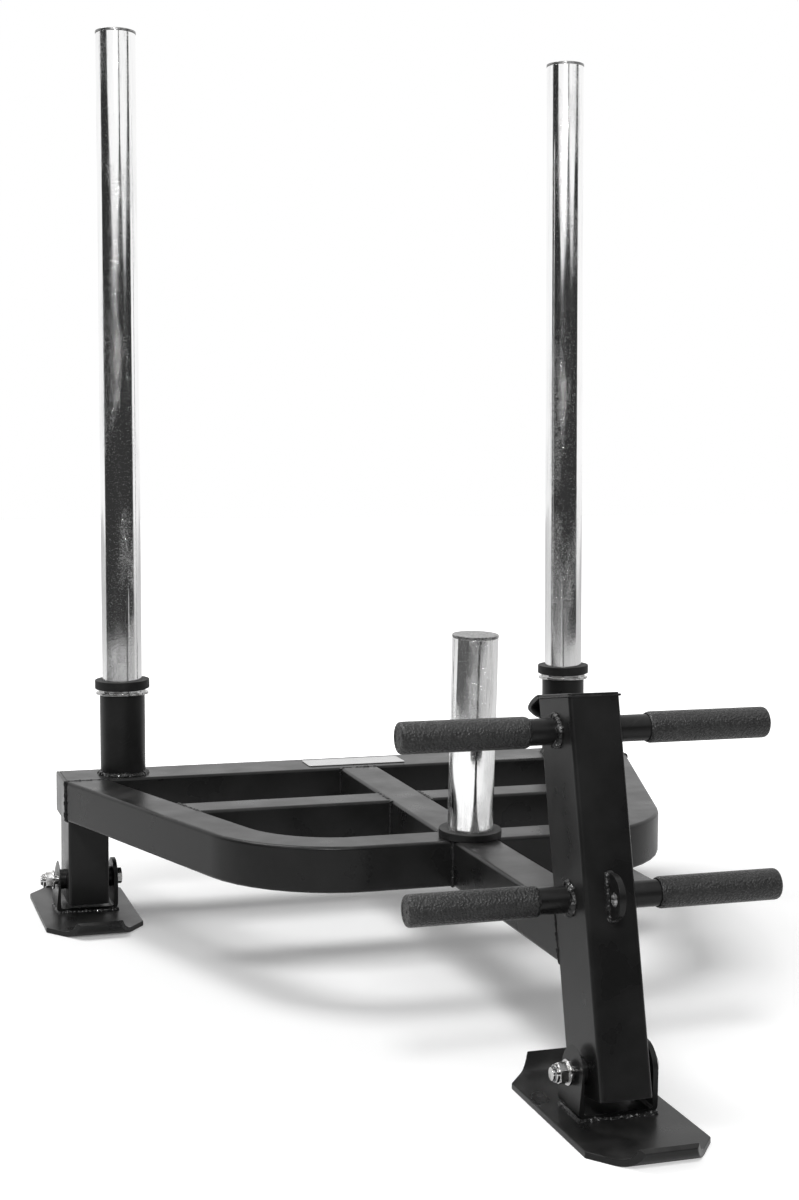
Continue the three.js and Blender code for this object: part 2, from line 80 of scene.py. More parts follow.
def middle(node):
    low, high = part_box(node)
    return (low + high) / 2


def halfWidth(node):
    low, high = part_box(node)
    return (high.x - low.x) / 2


def halfHeight(node):
    low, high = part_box(node)
    return (high.z - low.z) / 2


def pivotOf(label):
    return Vector(jointOf["skid_" + label + "_pivot"]["pos_m"])


def meshFrom(bm, name):
    mesh = bpy.data.meshes.new(name)
    bm.to_mesh(mesh)
    bm.free()
    return mesh


def placed(name, data):
    thing = bpy.data.objects.new(name, data)
    scene.collection.objects.link(thing)
    return thing


# Camera

camera = {
    "place": Vector((-0.68565, -1.91791, 0.62559)),
    "yaw": math.radians(17.82),     # to the right of straight ahead
    "pitch": math.radians(5.40),    # down
    "roll": math.radians(0.53),
    "lens": 55.461, "film": 36,     # both in mm, the film by its long side
    "farthest": 60,
}


def makeCamera():
    yaw, pitch, roll = camera["yaw"], camera["pitch"], camera["roll"]
    ahead = Vector((math.sin(yaw) * math.cos(pitch), math.cos(yaw) * math.cos(pitch), -math.sin(pitch)))
    level = Vector((math.cos(yaw), -math.sin(yaw), 0))
    up = level.cross(ahead)
    right = math.cos(roll) * level + math.sin(roll) * up
    top = -math.sin(roll) * level + math.cos(roll) * up
    data = bpy.data.cameras.new("photoCamera")
    data.sensor_width = camera["film"]
    data.lens = camera["lens"]
    data.clip_end = camera["farthest"]
    eye = placed("photoCamera", data)
    turn = Matrix((right, top, -ahead)).transposed().to_4x4()
    eye.matrix_world = Matrix.Translation(camera["place"]) @ turn
    scene.camera = eye


makeCamera()
print("camera placed")


# Node trees: add() makes one node, with its settings and its joined or typed inputs

def add(tree, kind, inputs=None, **settings):
    node = tree.nodes.new("ShaderNode" + kind)
    for key, value in settings.items():
        setattr(node, key, value)
    for key, value in (inputs or {}).items():
        if isinstance(value, bpy.types.NodeSocket):
            tree.links.new(value, node.inputs[key])
        else:
            node.inputs[key].default_value = value
    return node.outputs


def maths(tree, operation, first, second=0.0, clamp=False):
    return add(tree, "Math", {0: first, 1: second}, operation=operation, use_clamp=clamp)[0]


def ramp(tree, value, low, high, toLow=0.0, toHigh=1.0):
    names = {"Value": value, "From Min": low, "From Max": high, "To Min": toLow, "To Max": toHigh}
    return add(tree, "MapRange", names)[0]


def blend(tree, share, first, second):
    mix = add(tree, "Mix", {0: share, 6: first, 7: second}, data_type="RGBA")    # 6, 7 and 2 carry colours
    return mix[2]


def grey(level, warm=0.0):
    return (level * (1 + warm), level, level * (1 - warm), 1)


# Shared effects as shader groups. A spread is the pair of pattern values at which a blend starts and ends

def newGroup(name, inputs, outputs):
    group = bpy.data.node_groups.new(name, "ShaderNodeTree")
    for label, kind, value in inputs:
        group.interface.new_socket(label, in_out="INPUT", socket_type=kind).default_value = value
    for label in outputs:
        group.interface.new_socket(label, in_out="OUTPUT", socket_type="NodeSocketFloat")
    start = group.nodes.new("NodeGroupInput").outputs
    end = group.nodes.new("NodeGroupOutput").inputs
    return group, start, end


def makeGrain():
    group, start, end = newGroup("grain", [
        ("Size", "NodeSocketFloat", 0.001), ("Stretch", "NodeSocketVector", (1, 1, 1)),
        ("Detail", "NodeSocketFloat", 2.0),
    ], ["Value"])
    place = add(group, "TexCoord")["Object"]
    stretched = add(group, "VectorMath", {0: place, 1: start["Stretch"]}, operation="DIVIDE")[0]
    scale = maths(group, "DIVIDE", 1.0, start["Size"])
    noise = add(group, "TexNoise", {"Vector": stretched, "Scale": scale, "Detail": start["Detail"]})
    group.links.new(noise[0], end["Value"])
    return group


# An edge mask in patches: worn edges on the powder coat, and a painted highlight round every edge where its
# cover takes them all
edgeWearAndHighlightLook = {"samples": 6, "cornerSpread": (0.995, 0.90), "softness": 0.12}


def makeEdgeWearAndHighlight():
    group, start, end = newGroup("edgeWearAndHighlight", [
        ("Radius", "NodeSocketFloat", 0.002), ("Patch", "NodeSocketFloat", 0.02),
        ("Cover", "NodeSocketFloat", 0.5),
    ], ["Mask"])
    rounded = add(group, "Bevel", {"Radius": start["Radius"]}, samples=edgeWearAndHighlightLook["samples"])[0]
    flat = add(group, "NewGeometry")["Normal"]
    same = add(group, "VectorMath", {0: rounded, 1: flat}, operation="DOT_PRODUCT")["Value"]
    edge = ramp(group, same, *edgeWearAndHighlightLook["cornerSpread"])
    place = add(group, "TexCoord")["Object"]
    scale = maths(group, "DIVIDE", 1.0, start["Patch"])
    patches = add(group, "TexNoise", {"Vector": place, "Scale": scale, "Detail": 4.0})[0]
    limit = maths(group, "SUBTRACT", 1.0, start["Cover"])
    shown = ramp(group, patches, limit, maths(group, "ADD", limit, edgeWearAndHighlightLook["softness"]))
    group.links.new(maths(group, "MULTIPLY", edge, shown), end["Mask"])
    return group


scratchLines = {
    "scale": 0.35, "centre": 0.5, "halfLine": 0.010,
    "patchScale": 9.0, "patchSpread": (0.60, 0.70),
}


# A scratch runs where stretched noise crosses its middle value
def makeScratches():
    group, start, end = newGroup("scratches", [
        ("Length", "NodeSocketFloat", 0.08), ("Width", "NodeSocketFloat", 0.0006),
        ("Turn", "NodeSocketVector", (0.3, 0.5, 0.2)),
    ], ["Mask"])
    place = add(group, "TexCoord")["Object"]
    turned = add(group, "Mapping", {"Vector": place, "Rotation": start["Turn"]})[0]
    stretch = add(group, "CombineXYZ", {0: start["Length"], 1: start["Width"], 2: start["Width"]})[0]
    drawn = add(group, "VectorMath", {0: turned, 1: stretch}, operation="DIVIDE")[0]
    lines = add(group, "TexNoise", {"Vector": drawn, "Scale": scratchLines["scale"], "Detail": 1.0})[0]
    away = maths(group, "ABSOLUTE", maths(group, "SUBTRACT", lines, scratchLines["centre"]))
    thin = ramp(group, away, scratchLines["halfLine"], 0.0)
    where = add(group, "TexNoise", {"Vector": place, "Scale": scratchLines["patchScale"], "Detail": 2.0})[0]
    shown = ramp(group, where, *scratchLines["patchSpread"])
    group.links.new(maths(group, "MULTIPLY", thin, shown), end["Mask"])
    return group


settledDust = {
    "cloudScale": 38.0, "cloudSpread": (0.42, 0.70),
    "speckScale": 900.0, "speckSpread": (0.66, 0.74),
    "upSpread": (0.25, 0.9),    # by how far up a face points
    "warm": 0.02,
}


def makeDust():
    look = settledDust
    group, start, end = newGroup("dust", [("Amount", "NodeSocketFloat", 0.3)], ["Mask"])
    up = add(group, "SeparateXYZ", {0: add(group, "NewGeometry")["Normal"]})["Z"]
    place = add(group, "TexCoord")["Object"]
    clouds = add(group, "TexNoise", {"Vector": place, "Scale": look["cloudScale"], "Detail": 5.0})[0]
    specks = add(group, "TexNoise", {"Vector": place, "Scale": look["speckScale"], "Detail": 1.0})[0]
    soft = maths(group, "MULTIPLY", ramp(group, clouds, *look["cloudSpread"]), start["Amount"])
    speck = maths(group, "MULTIPLY", ramp(group, specks, *look["speckSpread"]), start["Amount"])
    total = maths(group, "ADD", soft, speck, clamp=True)
    group.links.new(maths(group, "MULTIPLY", total, ramp(group, up, *look["upSpread"])), end["Mask"])
    return group


grain = makeGrain()
edgeWearAndHighlight = makeEdgeWearAndHighlight()
scratches = makeScratches()
dust = makeDust()


def effect(tree, group, **values):
    node = tree.nodes.new("ShaderNodeGroup")
    node.node_tree = group
    for key, value in values.items():
        node.inputs[key].default_value = value
    return node.outputs[0]


def newFinish(name, **plain):
    material = bpy.data.materials.new(name)
    material.use_nodes = True
    tree = material.node_tree
    shader = tree.nodes["Principled BSDF"].inputs
    for key, value in plain.items():
        shader[key.replace("_", " ")].default_value = value
    return material, tree, shader


def paint(tree, shader, share, first, second):
    tree.links.new(blend(tree, share, first, second), shader["Base Color"])


def roughen(tree, shader, pattern, spread, levels):
    tree.links.new(ramp(tree, pattern, *spread, *levels), shader["Roughness"])


def bump(tree, shader, height, distance, strength=1.0):
    raised = add(tree, "Bump", {"Height": height, "Distance": distance, "Strength": strength})
    tree.links.new(raised["Normal"], shader["Normal"])


# Finishes

powderCoat = {
    "dark": 0.0085, "light": 0.0140, "cloud": 0.05, "cloudSpread": (0.35, 0.65),
    "edge": 0.060, "edgeShare": 0.55, "edgeRadius": 0.0016, "edgePatch": 0.018, "edgeCover": 0.45,
    "scratch": 0.03, "scratchShare": 0.6, "scratchLength": 0.30, "scratchWidth": 0.0035,
    "dust": 0.16, "dustAmount": 0.10, "dustRough": 0.5,
    "rough": (0.25, 0.36), "roughSpread": (0.3, 0.7), "specular": 0.20,
    "peel": 0.0015, "peelDepth": 0.00005, "fine": 0.0005, "fineShare": 0.45,
}


def makePowderCoat():
    look = powderCoat
    material, tree, shader = newFinish("blackPowderCoat", Specular_IOR_Level=look["specular"])
    clouds = effect(tree, grain, Size=look["cloud"], Detail=4.0)
    colour = blend(tree, ramp(tree, clouds, *look["cloudSpread"]), grey(look["dark"]), grey(look["light"]))
    worn = effect(tree, edgeWearAndHighlight, Radius=look["edgeRadius"], Patch=look["edgePatch"],
                  Cover=look["edgeCover"])
    colour = blend(tree, maths(tree, "MULTIPLY", worn, look["edgeShare"]), colour, grey(look["edge"]))
    lines = effect(tree, scratches, Length=look["scratchLength"], Width=look["scratchWidth"])
    share = maths(tree, "MULTIPLY", lines, look["scratchShare"])
    colour = blend(tree, share, colour, grey(look["scratch"]))
    settled = effect(tree, dust, Amount=look["dustAmount"])
    paint(tree, shader, settled, colour, grey(look["dust"], settledDust["warm"]))
    rough = ramp(tree, clouds, *look["roughSpread"], *look["rough"])
    rough = maths(tree, "ADD", rough, maths(tree, "MULTIPLY", settled, look["dustRough"]), clamp=True)
    tree.links.new(rough, shader["Roughness"])
    peel = effect(tree, grain, Size=look["peel"], Detail=1.5)
    fine = effect(tree, grain, Size=look["fine"], Detail=2.0)
    height = maths(tree, "ADD", peel, maths(tree, "MULTIPLY", fine, look["fineShare"]))
    bump(tree, shader, height, look["peelDepth"])
    return material


weldCoat = {
    "level": 0.010, "worn": 0.34, "rough": (0.34, 0.20), "specular": 0.35,    # rough: coated, then on the bright glint patches
    "lump": 0.0030, "lumpSpread": (0.50, 0.62), "lumpDepth": 0.0009,
    "patch": 0.011, "patchSpread": (0.52, 0.60),
}


def makeWeldCoat():
    look = weldCoat
    material, tree, shader = newFinish("coatedWeld", Specular_IOR_Level=look["specular"])
    lumps = effect(tree, grain, Size=look["lump"], Detail=3.0)
    patches = ramp(tree, effect(tree, grain, Size=look["patch"], Detail=1.0), *look["patchSpread"])
    # Bright metal patches on the lumps: a painted glint on the coated bead
    worn = maths(tree, "MULTIPLY", ramp(tree, lumps, *look["lumpSpread"]), patches)
    paint(tree, shader, worn, grey(look["level"]), grey(look["worn"]))
    tree.links.new(worn, shader["Metallic"])
    roughen(tree, shader, worn, (0.0, 1.0), look["rough"])
    bump(tree, shader, lumps, look["lumpDepth"])
    return material


brightPlate = {
    "level": 0.94, "dull": 0.78, "rough": (0.06, 0.15), "roughSpread": (0.35, 0.65),
    "cloud": 0.03, "cloudStretch": (1, 1, 4), "cloudSpread": (0.35, 0.7),
    "draw": 0.0011, "drawStretch": (1, 1, 220), "drawSpread": (0.4, 0.75), "drawDepth": 0.000006,
    "speck": 0.0009, "speckSpread": (0.62, 0.72), "speckRough": 0.25,
    "peel": 0.0021, "peelStretch": (1, 1, 1.6), "peelDepth": 0.000016,
    "flake": 0.0013, "flakeDepth": 0.00006, "flakeSpread": (0.56, 0.66), "flakePatch": (0.48, 0.60),
}
# A darker, more flaked plating than the tall posts', for the short post
greyerPlate = {
    **brightPlate, "level": 0.90, "dull": 0.56, "rough": (0.07, 0.17),
    "flake": 0.0008, "flakeDepth": 0.00012, "flakeSpread": (0.53, 0.63), "flakePatch": (0.45, 0.57),
}


def makeBrightPlate(name, look):
    material, tree, shader = newFinish(name, Metallic=1.0)
    streaks = effect(tree, grain, Size=look["draw"], Stretch=look["drawStretch"], Detail=3.0)
    clouds = effect(tree, grain, Size=look["cloud"], Stretch=look["cloudStretch"], Detail=4.0)
    drawn = ramp(tree, streaks, *look["drawSpread"])
    # Dull vertical streaks: real draw lines in the plating, and also a painted reflection of streaked
    # surroundings
    drawLinesAndPaintedStreaks = maths(tree, "MULTIPLY", drawn, ramp(tree, clouds, *look["cloudSpread"]))
    paint(tree, shader, drawLinesAndPaintedStreaks, grey(look["level"]), grey(look["dull"]))
    specks = effect(tree, grain, Size=look["speck"], Detail=2.0)
    specks = ramp(tree, specks, *look["speckSpread"], 0.0, look["speckRough"])
    rough = ramp(tree, clouds, *look["roughSpread"], *look["rough"])
    tree.links.new(maths(tree, "ADD", rough, specks), shader["Roughness"])
    peel = effect(tree, grain, Size=look["peel"], Stretch=look["peelStretch"], Detail=2.5)
    lines = maths(tree, "MULTIPLY", streaks, look["drawDepth"] / look["peelDepth"])
    flakes = ramp(tree, effect(tree, grain, Size=look["flake"], Detail=1.0), *look["flakeSpread"])
    flakes = maths(tree, "MULTIPLY", flakes, ramp(tree, clouds, *look["flakePatch"]))
    flakes = maths(tree, "MULTIPLY", flakes, look["flakeDepth"] / look["peelDepth"])
    height = maths(tree, "ADD", maths(tree, "ADD", peel, lines), flakes)
    bump(tree, shader, height, look["peelDepth"])
    return material


zincPlate = {
    "level": 0.52, "dull": 0.26, "dullWarm": 0.03, "cloud": 0.006, "cloudSpread": (0.42, 0.68),
    # edge: the colour of the painted highlight on every edge
    "edge": 0.95, "edgeRadius": 0.0008, "edgePatch": 0.02, "edgeCover": 1.0,
    "rough": (0.08, 0.20), "roughSpread": (0.3, 0.7), "pit": 0.0008, "pitDepth": 0.000008,
}


def makeZincPlate():
    look = zincPlate
    material, tree, shader = newFinish("zincPlatedSteel", Metallic=1.0)
    clouds = effect(tree, grain, Size=look["cloud"], Detail=4.0)
    share = ramp(tree, clouds, *look["cloudSpread"])
    colour = blend(tree, share, grey(look["level"]), grey(look["dull"], look["dullWarm"]))
    # Every bevelled edge is painted near white: a painted highlight on the zinc's edges
    paintedEdgeHighlight = effect(tree, edgeWearAndHighlight, Radius=look["edgeRadius"], Patch=look["edgePatch"],
                    Cover=look["edgeCover"])
    paint(tree, shader, paintedEdgeHighlight, colour, grey(look["edge"]))
    roughen(tree, shader, clouds, look["roughSpread"], look["rough"])
    bump(tree, shader, effect(tree, grain, Size=look["pit"], Detail=3.0), look["pitDepth"])
    return material


castCap = {
    "level": 0.36, "dull": 0.13, "rough": 0.30,
    "hammer": 0.0022, "hammerSpread": (0.40, 0.62), "hammerDepth": 0.00030,
}


def makeCastCap():
    look = castCap
    material, tree, shader = newFinish("hammeredCap", Metallic=1.0, Roughness=look["rough"])
    dents = effect(tree, grain, Size=look["hammer"], Detail=2.0)
    share = ramp(tree, dents, *look["hammerSpread"])
    paint(tree, shader, share, grey(look["dull"]), grey(look["level"]))
    bump(tree, shader, dents, look["hammerDepth"])
    return material


mouldedRubber = {
    "dark": 0.006, "light": 0.014, "cloud": 0.012, "cloudSpread": (0.35, 0.7),
    "dust": 0.15, "dustAmount": 0.16,
    "rough": (0.50, 0.66), "roughSpread": (0.3, 0.7), "specular": 0.22,
    "pore": 0.0009, "tooling": 0.0007, "toolingStretch": (40, 40, 1), "depth": 0.00016,
}


def makeMouldedRubber():
    look = mouldedRubber
    material, tree, shader = newFinish("mouldedRubber", Specular_IOR_Level=look["specular"])
    clouds = effect(tree, grain, Size=look["cloud"], Detail=5.0)
    colour = blend(tree, ramp(tree, clouds, *look["cloudSpread"]), grey(look["dark"]), grey(look["light"]))
    settled = effect(tree, dust, Amount=look["dustAmount"])
    paint(tree, shader, settled, colour, grey(look["dust"], settledDust["warm"]))
    roughen(tree, shader, clouds, look["roughSpread"], look["rough"])
    pores = effect(tree, grain, Size=look["pore"], Detail=4.0)
    rings = effect(tree, grain, Size=look["tooling"], Stretch=look["toolingStretch"], Detail=2.0)
    bump(tree, shader, maths(tree, "ADD", pores, rings), look["depth"])
    return material


gripRubber = {
    "dark": 0.0060, "light": 0.0340, "cloud": 0.02, "cloudSpread": (0.25, 0.7),
    "pebble": 0.0022, "pebbleDepth": 0.00060, "smoothness": 0.35, "domeSpread": (0.75, 0.05),
    "waverScale": 260.0, "waver": 0.0016,
    "rough": (0.50, 0.28), "specular": 0.50,    # rough: between the pebbles, then on them
    "fine": 0.0006, "fineShare": 0.25,
}


def makeGripRubber():
    look = gripRubber
    material, tree, shader = newFinish("pebbledRubber", Specular_IOR_Level=look["specular"])
    place = add(tree, "TexCoord")["Object"]
    bent = add(tree, "TexNoise", {"Vector": place, "Scale": look["waverScale"], "Detail": 2.0})["Color"]
    reach = (look["waver"],) * 3
    moved = add(tree, "VectorMath", {0: bent, 1: reach, 2: place}, operation="MULTIPLY_ADD")[0]
    pebbles = {"Vector": moved, "Scale": 1 / look["pebble"], "Smoothness": look["smoothness"]}
    cells = add(tree, "TexVoronoi", pebbles, feature="SMOOTH_F1")["Distance"]
    domes = ramp(tree, cells, *look["domeSpread"])
    clouds = effect(tree, grain, Size=look["cloud"], Detail=4.0)
    # Pebble tops are painted lighter and the hollows between them darker: a painted highlight and painted
    # shade
    share = maths(tree, "MULTIPLY", domes, ramp(tree, clouds, *look["cloudSpread"]))
    paint(tree, shader, share, grey(look["dark"]), grey(look["light"]))
    roughen(tree, shader, domes, (0.0, 1.0), look["rough"])
    fine = effect(tree, grain, Size=look["fine"], Detail=2.0)
    height = maths(tree, "ADD", domes, maths(tree, "MULTIPLY", fine, look["fineShare"]))
    bump(tree, shader, height, look["pebbleDepth"])
    return material


barePlate = {
    "level": 0.66, "dull": 0.50, "metallic": 0.9, "rough": (0.24, 0.40),
    "brush": 0.0004, "brushStretch": (160, 1, 1), "brushSpread": (0.3, 0.7), "brushDepth": 0.000012,
    "cloud": 0.02, "cloudSpread": (0.2, 0.7),
}


def makeBarePlate():
    look = barePlate
    material, tree, shader = newFinish("brushedPlate", Metallic=look["metallic"])
    brushed = effect(tree, grain, Size=look["brush"], Stretch=look["brushStretch"], Detail=3.0)
    clouds = effect(tree, grain, Size=look["cloud"], Detail=4.0)
    lines = ramp(tree, brushed, *look["brushSpread"])
    share = maths(tree, "MULTIPLY", lines, ramp(tree, clouds, *look["cloudSpread"]))
    paint(tree, shader, share, grey(look["level"]), grey(look["dull"]))
    roughen(tree, shader, brushed, look["brushSpread"], look["rough"])
    bump(tree, shader, brushed, look["brushDepth"])
    return material


nylonLook = {
    "dark": (0.030, 0.034, 0.042, 1), "light": (0.075, 0.080, 0.090, 1), "rough": 0.45,
    "cloud": 0.002, "cloudSpread": (0.3, 0.7), "cloudDepth": 0.00004,
}


def makeNylon():
    look = nylonLook
    material, tree, shader = newFinish("nylonInsert", Roughness=look["rough"])
    clouds = effect(tree, grain, Size=look["cloud"], Detail=3.0)
    paint(tree, shader, ramp(tree, clouds, *look["cloudSpread"]), look["dark"], look["light"])
    bump(tree, shader, clouds, look["cloudDepth"])
    return material


finishes = {
    "coat": makePowderCoat(),
    "weld": makeWeldCoat(),
    "bright": makeBrightPlate("brightPlatedTube", brightPlate),
    "greyer": makeBrightPlate("greyerPlatedTube", greyerPlate),
    "zinc": makeZincPlate(),
    "cap": makeCastCap(),
    "rubber": makeMouldedRubber(),
    "grip": makeGripRubber(),
    "plate": makeBarePlate(),
    "nylon": makeNylon(),
}
print("finishes made:", ", ".join(finishes))


# Pieces

smoothAngle = math.radians(32)


def finished(mesh, name, body, finish, node=None):
    mesh.polygons.foreach_set("use_smooth", [True] * len(mesh.polygons))
    mesh.set_sharp_from_angle(angle=smoothAngle)
    mesh.materials.clear()
    mesh.materials.append(finishes[finish])
    piece = placed(name, mesh)
    shading = piece.modifiers.new("evenNormals", "WEIGHTED_NORMAL")
    shading.keep_sharp = True
    if node:
        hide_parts(node)
    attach(piece, body)
    return piece


def finishedFrom(bm, name, body, finish, node=None):
    return finished(meshFrom(bm, name), name, body, finish, node)


def camelName(node):
    first, *others = node.split("_")
    return first + "".join(word.capitalize() for word in others)


# A merged copy of a CAD node with its sharp edges rounded

softening = {
    "merge": 0.00001, "flat": math.radians(1), "sharp": math.radians(35), "segments": 2,
}


def softened(node, rounding, finish):
    bm = bmesh.new()
    bm.from_mesh(frame["nodes"][node].data)
    bmesh.ops.remove_doubles(bm, verts=bm.verts, dist=softening["merge"])
    bmesh.ops.dissolve_limit(bm, angle_limit=softening["flat"], verts=bm.verts, edges=bm.edges)
    sharp = [edge for edge in bm.edges if edge.is_manifold and edge.calc_face_angle() > softening["sharp"]]
    bmesh.ops.bevel(bm, geom=sharp, offset=rounding, offset_type="OFFSET", affect="EDGES",
                    segments=softening["segments"], profile=0.5, material=-1, clamp_overlap=True)
    return finishedFrom(bm, camelName(node), bodyOf(node), finish, node)


frameRounding = {
    "cross_tube": 0.0005, "cross_tube_cap_left": 0.0007, "cross_tube_cap_right": 0.0007,
    "leg_left": 0.0005, "leg_right": 0.0005,
    "side_tube_left": 0.0004, "side_tube_right": 0.0004,
    "middle_bar_left": 0.0004, "middle_bar_right": 0.0004, "spine_tube": 0.0004,
    "mast_tube": 0.0006, "mast_cap": 0.0007, "strap_loop": 0.0010, "tow_eye": 0.0014,
    "short_post_bumper": 0.0007, "name_plate": 0.0003,
}
uncoated = {"short_post_bumper": "rubber", "name_plate": "plate"}
for node, rounding in frameRounding.items():
    softened(node, rounding, uncoated.get(node, "coat"))

# The tow eye's hole gets the bright cap metal, so it shows as a bright spot: its faces lie within reach of
# its centre and don't face sideways
eyeHole = {"y": -0.43127, "z": 0.20393, "reach": 0.0072, "sideways": 0.9, "finish": "cap"}


def capMetalInEyeHole(piece):
    piece.data.materials.append(finishes[eyeHole["finish"]])
    for face in piece.data.polygons:
        away = math.hypot(face.center.y - eyeHole["y"], face.center.z - eyeHole["z"])
        inHole = away < eyeHole["reach"] and abs(face.normal.x) < eyeHole["sideways"]
        face.material_index = 1 if inHole else 0


capMetalInEyeHole(bpy.data.objects[camelName("tow_eye")])

skidRounding = {
    "skid_plate": (0.0011, "coat"), "skid_bracket": (0.0008, "coat"), "pivot_tube": (0.0006, "coat"),
    "pivot_bolt": (0.00035, "zinc"), "pivot_nut": (0.0003, "zinc"), "pivot_washer": (0.0004, "zinc"),
}
for label in skidLabels:
    for start, (rounding, finish) in skidRounding.items():
        softened(start + "_" + label, rounding, finish)
print("frame, skids and fasteners rounded")


# Turned pieces: an outline of (radius, height, rounding) corners, spun about a line

turning = {"steps": 96, "cornerSteps": 4, "merge": 0.000001}


def roundedOutline(corners, closed):
    points = []
    count = len(corners)
    for i, (radius, height, rounding) in enumerate(corners):
        here = Vector((radius, height))
        inside = closed or 0 < i < count - 1
        if not rounding or not inside:
            points.append(here)
            continue
        before = Vector(corners[i - 1][:2]) - here
        after = Vector(corners[(i + 1) % count][:2]) - here
        start = here + before.normalized() * rounding
        end = here + after.normalized() * rounding
        for step in range(turning["cornerSteps"] + 1):
            share = step / turning["cornerSteps"]
            points.append(start.lerp(here, share).lerp(here.lerp(end, share), share))
    return points


def spunMesh(corners, place, closed=True):
    bm = bmesh.new()
    outline = roundedOutline(corners, closed)
    verts = [bm.verts.new((point.x, 0, point.y)) for point in outline]
    pairs = list(zip(verts, verts[1:])) + ([(verts[-1], verts[0])] if closed else [])
    edges = [bm.edges.new(pair) for pair in pairs]
    bmesh.ops.spin(bm, geom=verts + edges, cent=(0, 0, 0), axis=(0, 0, 1), angle=2 * math.pi,
                   steps=turning["steps"], use_merge=True, use_duplicate=False)
    bmesh.ops.remove_doubles(bm, verts=bm.verts, dist=turning["merge"])
    bmesh.ops.recalc_face_normals(bm, faces=bm.faces)
    bm.transform(place)
    return bm


def spun(node, corners, place, finish, closed=True):
    bm = spunMesh(corners, place, closed)
    return finishedFrom(bm, camelName(node), bodyOf(node), finish, node)


# How far a leaning turned node reaches along its line, from the line's foot
def span(node, foot, angle):
    low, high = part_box(node)
    across = halfWidth(node) * abs(math.sin(angle))
    start = (low.z - foot.z + across) / math.cos(angle)
    end = (high.z - foot.z - across) / math.cos(angle)
    return start, end


sectionReach = 0.0025


# The least and greatest values of the points of a node that lie near a plane across an axis
def endSection(node, axis, value):
    near = [point for point in pointsOf(node) if abs(point[axis] - value) < sectionReach]
    low = Vector([min(point[i] for point in near) for i in range(3)])
    high = Vector([max(point[i] for point in near) for i in range(3)])
    return low, high


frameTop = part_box("cross_tube")[1].z
slideAxis = Vector(jointOf["post_left_slide"]["axis"])
postRake = math.atan2(slideAxis.y, slideAxis.z)    # the tall posts lean away from the mast

postTube = {"wall": 0.003, "seat": 0.0003, "endRound": 0.0003, "capFoot": 0.0003, "capRim": 0.0005}


def capOutline(radius, thickness):
    return [(0, 0, 0), (radius, 0, postTube["capFoot"]), (radius, thickness, postTube["capRim"]),
            (0, thickness, 0)]


def pipeOutline(radius, wall, start, end, rounding):
    return [(radius - wall, start, 0), (radius, start, 0), (radius, end, rounding),
            (radius - wall, end, rounding)]


# A ring's hole is rounded a third as much as its outside, and at its end only
def ringOutline(hole, radius, start, end, rounding):
    return [(hole, start, 0), (radius, start, rounding), (radius, end, rounding), (hole, end, rounding / 3)]


def leaning(foot, angle):
    return Matrix.Translation(foot) @ Matrix.Rotation(angle, 4, "X")


def turnPost(node, place, start, end, finish):
    outline = pipeOutline(halfWidth(node), postTube["wall"], start, end, postTube["endRound"])
    spun(node, outline, place, finish)


def turnCap(node, foot, angle, place, radius):
    start, end = span(node, foot, angle)
    top = place @ Matrix.Translation((0, 0, start))
    spun(node, capOutline(radius, end - start), top, "cap", closed=False)


def sleeveFoot(side):
    return Vector((middle("sleeve_" + side).x, middle("cross_tube").y, frameTop))


tallPost = {
    "capOver": 0.0004,
    "collarRound": 0.0006, "flange": 0.0032, "hubStep": 0.0035,
    "bumperRound": 0.0008, "bumperLift": 0.0014,
    "bumperTilt": math.radians(1.2), "bumperNod": math.radians(2.6),
    "sleeveRound": 0.0007,
}


# A flange below, and a narrower hub above it
def collarOutline(hole, radius, start, end):
    hub = radius - tallPost["hubStep"]
    flangeTop = start + tallPost["flange"]
    rounding = tallPost["collarRound"]
    return [(hole, start, 0), (radius, start, rounding), (radius, flangeTop, rounding),
            (hub, flangeTop, 0), (hub, end, rounding), (hole, end, 0)]


# The rubber ring sits loose on its post: tilted, nodding forward and a little up
def looseBumper(place, start, end):
    centre = Matrix.Translation((0, 0, (start + end) / 2 + tallPost["bumperLift"]))
    tilt = Matrix.Rotation(-tallPost["bumperTilt"], 4, "Y")
    nod = Matrix.Rotation(tallPost["bumperNod"], 4, "X")
    lift = Matrix.Translation((0, 0, tallPost["bumperLift"]))
    return place @ centre @ tilt @ nod @ centre.inverted() @ lift


def turnTallPost(side):
    foot = sleeveFoot(side)
    place = leaning(foot, -postRake)
    post, collar, bumper, sleeve = [
        start + side for start in ("post_", "post_collar_", "post_bumper_", "sleeve_")]
    radius = halfWidth(post)
    hole = radius + postTube["seat"]
    turnPost(post, place, *span(post, foot, postRake), "bright")
    turnCap("post_cap_" + side, foot, postRake, place, radius + tallPost["capOver"])
    spun(collar, collarOutline(hole, halfWidth(collar), *span(collar, foot, postRake)), place, "zinc")
    start, end = span(bumper, foot, postRake)
    outline = ringOutline(hole, halfWidth(bumper), start, end, tallPost["bumperRound"])
    spun(bumper, outline, looseBumper(place, start, end), "rubber")
    end = span(sleeve, foot, postRake)[1]
    wall = halfWidth(sleeve) - hole
    spun(sleeve, pipeOutline(halfWidth(sleeve), wall, 0, end, tallPost["sleeveRound"]), place, "coat")


for side in ("left", "right"):
    turnTallPost(side)

shortPost = {"lean": math.radians(2.4), "capOver": 0.0002}    # it leans towards the mast


def turnShortPost():
    low, high = endSection("short_post", 2, frameTop)
    foot = Vector((0, (low.y + high.y) / 2, frameTop))
    place = leaning(foot, shortPost["lean"])
    turnPost("short_post", place, 0, span("short_post", foot, shortPost["lean"])[1], "greyer")
    radius = halfWidth("short_post") + shortPost["capOver"]
    turnCap("short_post_cap", foot, shortPost["lean"], place, radius)


turnShortPost()
print("posts, collars and sleeves turned")


